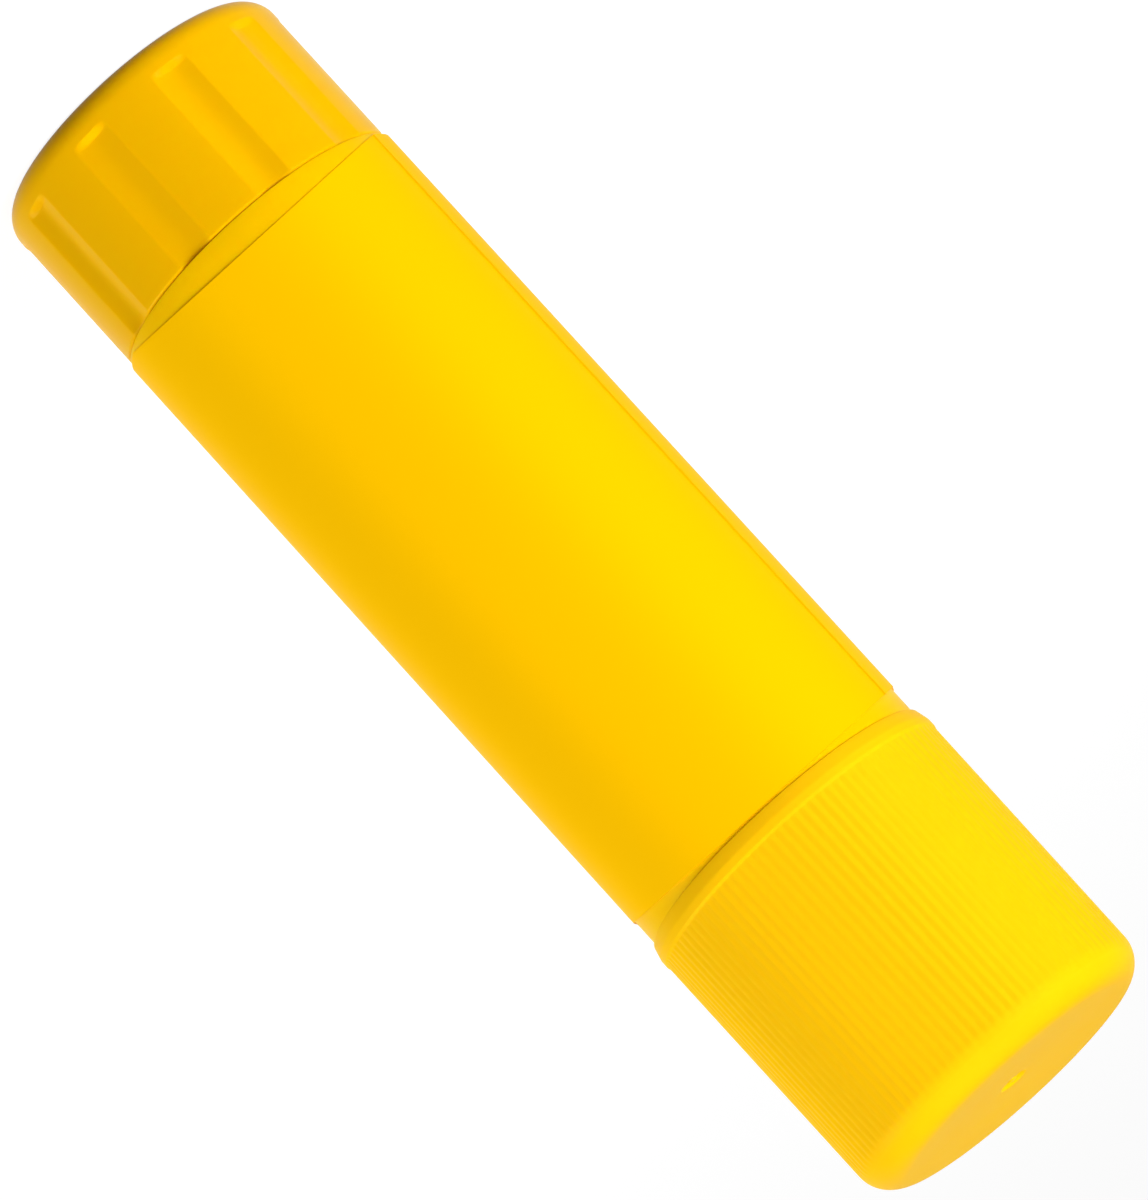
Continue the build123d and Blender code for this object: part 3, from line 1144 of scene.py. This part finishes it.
@dataclass
class Carrier(SubAssembly):
    """Glue carrier with its nut, and the column of glue cast into it."""

    foot: float = 58.5
    radius: float = 10.7
    rounding: float = 0.2
    top: float = 67.0
    top_rounding: float = 0.15
    cup_bore: float = 9.7
    floor: float = 59.9
    floor_rounding: float = 0.3
    nut_radius: float = 4.48
    nut_bore: float = 3.28
    nut_top: float = 63.7
    lead: float = 4.0
    tooth_height: float = 0.78
    tooth_run: float = 0.4
    tooth_cover: float = 0.1
    tooth_root_share: float = 0.36
    tooth_crest_share: float = 0.53
    notch_count: int = 4
    notch_half_width: float = 0.85
    notch_depth: float = 0.45
    notch_overrun: float = 2.0
    notch_wall_share: float = 0.012
    bore_cover: float = 0.1
    skin_depth: float = 0.3
    nut_margin: float = 0.1
    nut_ring_step: float = 0.13
    crease: float = 40.0
    cup_segments: int = 480
    fit: float = 0.03
    glue_radius: float = 10.25
    glue_top: float = 81.0
    glue_rounding: float = 1.1
    glue_foot_rounding: float = 0.3
    glue_step_rounding: float = 0.1
    glue_bore: float = 3.5
    glue_mouth_rounding: float = 0.35
    glue_top_radii: Triple = (7.4, 6.0, 4.8)
    glue_wall_rings: Triple = (68.0, 80.0, 1.5)
    glue_segments: int = 256
    worn_depth: float = 0.28
    worn_height: float = 2.5
    worn_middle_share: float = 0.5
    worn_waves: tuple[Triple, ...] = ((0.2, 0.9, 0.4), (0.15, -0.7, 2.3), (0.1, 5.1, 1.3))

    def build(self) -> None:
        """Build the carrier and then the glue."""
        self.build_cup()
        self.build_glue()

    def build_cup(self) -> None:
        """Turn the carrier, cut its notches and form the nut's thread."""
        outline = rounded([
            Corner(self.nut_bore, self.foot),
            Corner(self.radius, self.foot, self.rounding),
            Corner(self.radius, self.top, self.top_rounding),
            Corner(self.cup_bore, self.top, self.top_rounding),
            Corner(self.cup_bore, self.floor, self.floor_rounding),
            Corner(self.nut_radius, self.floor, self.rounding),
            Corner(self.nut_radius, self.nut_top, self.rounding),
            Corner(self.nut_bore, self.nut_top),
        ])
        cuts = rows(self.foot + self.nut_margin, self.nut_top - self.nut_margin, self.nut_ring_step)
        piece = turned_mesh("carrier_cup", cut_at(outline, cuts), self.cup_segments)
        material = MECHANISM_FINISH.material(self.shop.groups)
        notch_share = self.notch_half_width / self.radius / (math.pi / self.notch_count)
        self.cut_relief(
            piece,
            material,
            count=self.notch_count,
            phase=0.5,
            depth=self.notch_depth,
            root_share=notch_share,
            crest_share=notch_share + self.notch_wall_share,
            low=self.foot - self.notch_overrun,
            high=self.top + self.notch_overrun,
            run_in=self.notch_overrun / 2,
            run_out=self.notch_overrun / 2,
            still_radius=self.cup_bore + self.bore_cover,
            moving_radius=self.radius - self.skin_depth,
        )
        self.cut_relief(
            piece,
            material,
            count=1,
            turns_per_metre=1 / (self.lead * MM),
            depth=self.tooth_height,
            root_share=self.tooth_root_share,
            crest_share=self.tooth_crest_share,
            low=self.foot,
            high=self.nut_top,
            run_in=self.tooth_run,
            run_out=self.tooth_run,
            still_radius=self.nut_bore + self.tooth_cover,
            moving_radius=self.nut_bore,
        )
        shade(piece, self.crease)
        self.dress(piece, "carrier", "glue_carrier", "mechanism_plastic")

    def build_glue(self) -> None:
        """Turn the column of glue and rub its top."""
        outline = rounded([
            Corner(self.nut_radius + self.fit, self.floor + self.fit),
            Corner(self.cup_bore - self.fit, self.floor + self.fit, self.glue_foot_rounding),
            Corner(self.cup_bore - self.fit, self.top + self.fit),
            Corner(self.glue_radius, self.top + self.fit, self.glue_step_rounding),
            Corner(self.glue_radius, self.glue_top, self.glue_rounding),
            *(Corner(radius, self.glue_top) for radius in self.glue_top_radii),
            Corner(self.glue_bore, self.glue_top, self.glue_mouth_rounding),
            Corner(self.glue_bore, self.nut_top + self.fit),
            Corner(self.nut_radius + self.fit, self.nut_top + self.fit),
        ])
        cuts = rows(*self.glue_wall_rings)
        piece = turned_mesh("glue_column", cut_at(outline, cuts), self.glue_segments)
        start = (self.glue_top - self.worn_height) * MM
        for vertex in piece.data.vertices:
            place = vertex.co
            if place.z > start:
                x, y = place.x / MM, place.y / MM
                waves = (high * math.sin(across * x + along * y) for high, across, along in self.worn_waves)
                rub = sum(waves, self.worn_middle_share)
                share = (place.z - start) / (self.worn_height * MM)
                place.z -= self.worn_depth * MM * rub * share * share
        piece.data.materials.append(GLUE_FINISH.material(self.shop.groups))
        shade(piece)
        self.dress(piece, "carrier", "glue_stick", "glue")


@dataclass
class Cap(SubAssembly):
    """Closed sleeve with a smooth lip, fine grip ribs, a rounded end and a gate mark."""

    foot: float = 73.02
    bore: float = 12.0
    mouth_rounding: float = 0.2
    foot_radius: float = 12.8
    foot_rounding: float = 0.03
    lip_radius: float = 13.055
    lip_flare: float = 1.0
    lip_rounding: float = 0.8
    skin_low_radius: float = 12.98
    skin_lead: float = 0.02
    skin_run: float = 0.2
    skin_rounding: float = 0.06
    end_radius: float = 12.89
    top: float = 98.0
    end_rounding: float = 2.6
    roof: float = 96.4
    roof_rounding: float = 0.6
    dish_depth: float = 0.3
    dish_shares: tuple[float, ...] = (0.8, 0.6, 0.4, 0.25)
    gate_radius: float = 1.2
    gate_depth: float = 0.3
    gate_slope: float = 0.3
    gate_rounding: float = 0.2
    gate_floor_rounding: float = 0.15
    nib_foot_radius: float = 0.45
    nib_radius: float = 0.3
    nib_height: float = 0.25
    nib_peak: float = 0.28
    nib_rounding: float = 0.08
    rib_count: int = 104
    rib_depth: float = 0.055
    rib_low: float = 74.62
    rib_high: float = 96.3
    rib_run_in: float = 0.3
    rib_run_out: float = 1.0
    rib_foot_height: float = 0.45
    rib_foot_step: float = 0.06
    rib_end_margins: Pair = (1.2, 0.1)
    rib_end_step: float = 0.1
    bore_cover: float = 0.3
    skin_cover: float = 0.5
    crease: float = 35.0
    segments: int = 728

    def build(self) -> None:
        """Turn the sleeve and cut its ribs."""
        face_radius = self.end_radius - self.end_rounding
        centre = self.top - self.dish_depth
        gate_floor = centre - self.gate_depth
        dish = [
            Corner(face_radius * share, self.top - self.dish_depth * (1 - share**2))
            for share in self.dish_shares
        ]
        outline = rounded([
            Corner(self.bore, self.foot, self.mouth_rounding),
            Corner(self.foot_radius, self.foot, self.foot_rounding),
            Corner(self.lip_radius, self.foot + self.lip_flare, self.lip_rounding),
            Corner(self.lip_radius, self.rib_low - self.skin_lead, self.skin_rounding),
            Corner(self.skin_low_radius, self.rib_low + self.skin_run, self.skin_rounding),
            Corner(self.end_radius, self.top, self.end_rounding),
            *dish,
            Corner(self.gate_radius, centre, self.gate_rounding),
            Corner(self.gate_radius - self.gate_slope, gate_floor, self.gate_floor_rounding),
            Corner(self.nib_foot_radius, gate_floor, self.nib_rounding),
            Corner(self.nib_radius, gate_floor + self.nib_height, self.nib_rounding),
            Corner(0, gate_floor + self.nib_peak),
            Corner(0, self.roof),
            Corner(self.bore, self.roof, self.roof_rounding),
        ])
        below, above = self.rib_end_margins
        cuts = rows(self.rib_low, self.rib_low + self.rib_foot_height, self.rib_foot_step)
        cuts += rows(self.rib_high - below, self.rib_high + above, self.rib_end_step)
        piece = turned_mesh("cap_sleeve", cut_at(outline, cuts), self.segments)
        self.cut_relief(
            piece,
            CAP_FINISH.material(self.shop.groups),
            count=self.rib_count,
            depth=self.rib_depth,
            softness=1.0,
            low=self.rib_low,
            high=self.rib_high,
            run_in=self.rib_run_in,
            run_out=self.rib_run_out,
            still_radius=self.bore + self.bore_cover,
            moving_radius=self.bore + self.skin_cover,
        )
        shade(piece, self.crease)
        self.dress(piece, "cap", "cap", "cap_plastic")


# Studio


class Side(Enum):
    """Side of the object that a lamp stands on, seen by an upright viewer at the camera."""

    LEFT = -1
    RIGHT = 1


@dataclass(frozen=True)
class Lamp:
    """Soft square lamp that faces the middle of the object. Level 1 shows a colour as written.

    Angles are in degrees, and the size and the distance are in metres.
    """

    name: str
    side: Side
    angle: float
    elevation: float
    level: float
    size: float
    distance: float = 0.8

    def build(self, target: Vector) -> None:
        """Hang the lamp.

        Args:
            target: The point that it faces.
        """
        data = bpy.data.lights.new(self.name, "AREA")
        data.shape = "SQUARE"
        data.size = self.size
        data.energy = self.level * math.pi**2 * self.distance**2
        lamp = bpy.data.objects.new(self.name, data)
        bpy.context.scene.collection.objects.link(lamp)
        turn, rise = math.radians(self.angle) * self.side.value, math.radians(self.elevation)
        aim = Vector((math.sin(turn) * math.cos(rise), -math.cos(turn) * math.cos(rise), math.sin(rise)))
        lamp.location = target + aim * self.distance
        lamp.rotation_mode = "QUATERNION"
        lamp.rotation_quaternion = aim.to_track_quat("Z", "Y")
        log.info("%s at level %.2f", self.name, self.level)


@dataclass
class Studio:
    """Pale floor, soft lamps, white surroundings and the camera at the photograph's angle.

    Lengths of the camera are in millimetres and those of the floor and the clipping in metres.
    """

    middle: float = 49.0
    camera_distance: float = 850.0
    camera_elevation: float = 11.93
    axis_angle: float = 47.7
    focal_pixels: float = 11672.0
    image_height: float = 1200.0
    sensor: float = 36.0
    slide_right: float = 0.135
    slide_up: float = 0.765
    clip: Pair = (0.01, 20.0)
    floor_half: float = 4.0
    floor_squares: int = 8
    floor_colour: Triple = (0.22, 0.22, 0.22)
    floor_fade: float = 0.97
    floor_fade_scale: float = 60.0
    floor_lift: float = 0.9
    ambient: float = 0.06
    lamps: tuple[Lamp, ...] = (
        Lamp("key_lamp", Side.LEFT, angle=43.0, elevation=25.0, level=1.35, size=0.4),
        Lamp("side_lamp", Side.RIGHT, angle=86.0, elevation=15.0, level=0.95, size=0.4),
        Lamp("top_lamp", Side.RIGHT, angle=20.0, elevation=78.0, level=0.25, size=0.5),
    )

    def build(self) -> None:
        """Build the floor, the surroundings, the lamps and the camera."""
        target = Vector((0, 0, self.middle * MM))
        self.lay_floor()
        self.surround()
        for lamp in self.lamps:
            lamp.build(target)
        self.set_camera(target)

    def lay_floor(self) -> None:
        """Lay a pale floor that looks white where it is lit and keeps the object's shadow."""
        count = self.floor_squares
        line = rows(-self.floor_half, self.floor_half, 2 * self.floor_half / count)
        vertices = [(x, y, 0.0) for y in line for x in line]
        faces: list[tuple[int, ...]] = []
        for row in range(count):
            for column in range(count):
                start = row * (count + 1) + column
                faces.append((start, start + 1, start + count + 2, start + count + 1))
        floor = mesh_object("pale_floor", vertices, faces)
        material = bpy.data.materials.new("pale_floor")
        sheet = blank_sheet(material)
        faded = tuple(self.floor_fade * channel for channel in self.floor_colour)
        cloud = sheet.noise(self.floor_fade_scale)
        colour = sheet.mix_colour(cloud, (*self.floor_colour, 1.0), (*faded, 1.0))
        paint = sheet.node("ShaderNodeBsdfDiffuse", {"Color": colour})
        lift = sheet.times(self.seen(sheet), self.floor_lift)
        shine = sheet.node("ShaderNodeEmission", {"Strength": lift})
        both = sheet.node("ShaderNodeAddShader", {0: paint.outputs[0], 1: shine.outputs[0]})
        sheet.node("ShaderNodeOutputMaterial", {"Surface": both.outputs[0]})
        floor.data.materials.append(material)

    @staticmethod
    def seen(sheet: NodeSheet) -> NodeSocket:
        """Mask the rays that show the background: camera, glossy and transmission rays.

        Args:
            sheet: Where the nodes go.

        Returns:
            The mask's socket.
        """
        path = sheet.node("ShaderNodeLightPath").outputs
        shown = sheet.math("MAXIMUM", path["Is Camera Ray"], path["Is Glossy Ray"])
        return sheet.math("MAXIMUM", shown, path["Is Transmission Ray"])

    def surround(self) -> None:
        """Make the surroundings white to look at, with a low even light."""
        world = bpy.data.worlds.new("studio")
        bpy.context.scene.world = world
        sheet = blank_sheet(world)
        strength = sheet.mix_number(self.seen(sheet), self.ambient, 1.0)
        sky = sheet.node("ShaderNodeBackground", {"Strength": strength})
        sheet.node("ShaderNodeOutputWorld", {"Surface": sky.outputs[0]})

    def set_camera(self, target: Vector) -> None:
        """Set the camera so that the stick lies across the picture as in the photograph.

        Args:
            target: Middle of the object's axis.
        """
        rise = math.radians(self.camera_elevation)
        lean = math.radians(self.axis_angle)
        forward = Vector((0, math.cos(rise), -math.sin(rise)))
        upright = Vector((0, math.sin(rise), math.cos(rise)))
        across = Vector((1, 0, 0))
        right = -math.sin(lean) * across + math.cos(lean) * upright
        up = -math.cos(lean) * across - math.sin(lean) * upright
        data = bpy.data.cameras.new("camera")
        data.sensor_width = self.sensor
        data.lens = self.sensor * self.focal_pixels / self.image_height
        data.clip_start, data.clip_end = self.clip
        camera = bpy.data.objects.new("camera", data)
        bpy.context.scene.collection.objects.link(camera)
        place = target - forward * (self.camera_distance * MM)
        place += across * (self.slide_right * MM) + upright * (self.slide_up * MM)
        turn = Matrix((right, up, -forward)).transposed().to_4x4()
        camera.matrix_world = Matrix.Translation(place) @ turn
        bpy.context.scene.camera = camera


def main() -> None:
    """Build every sub-assembly, then the studio."""
    logging.basicConfig(level=logging.INFO, format="%(message)s")
    shop = Workshop(ShaderGroups(), turned_relief(), ring_of_keys())
    for kind in (TwistKnob, LeadScrew, Barrel, Label, Carrier, Cap):
        kind(shop).build()
    Studio().build()
    scene = bpy.context.scene
    scene.view_settings.view_transform = "Standard"


if __name__ == "__main__":
    main()
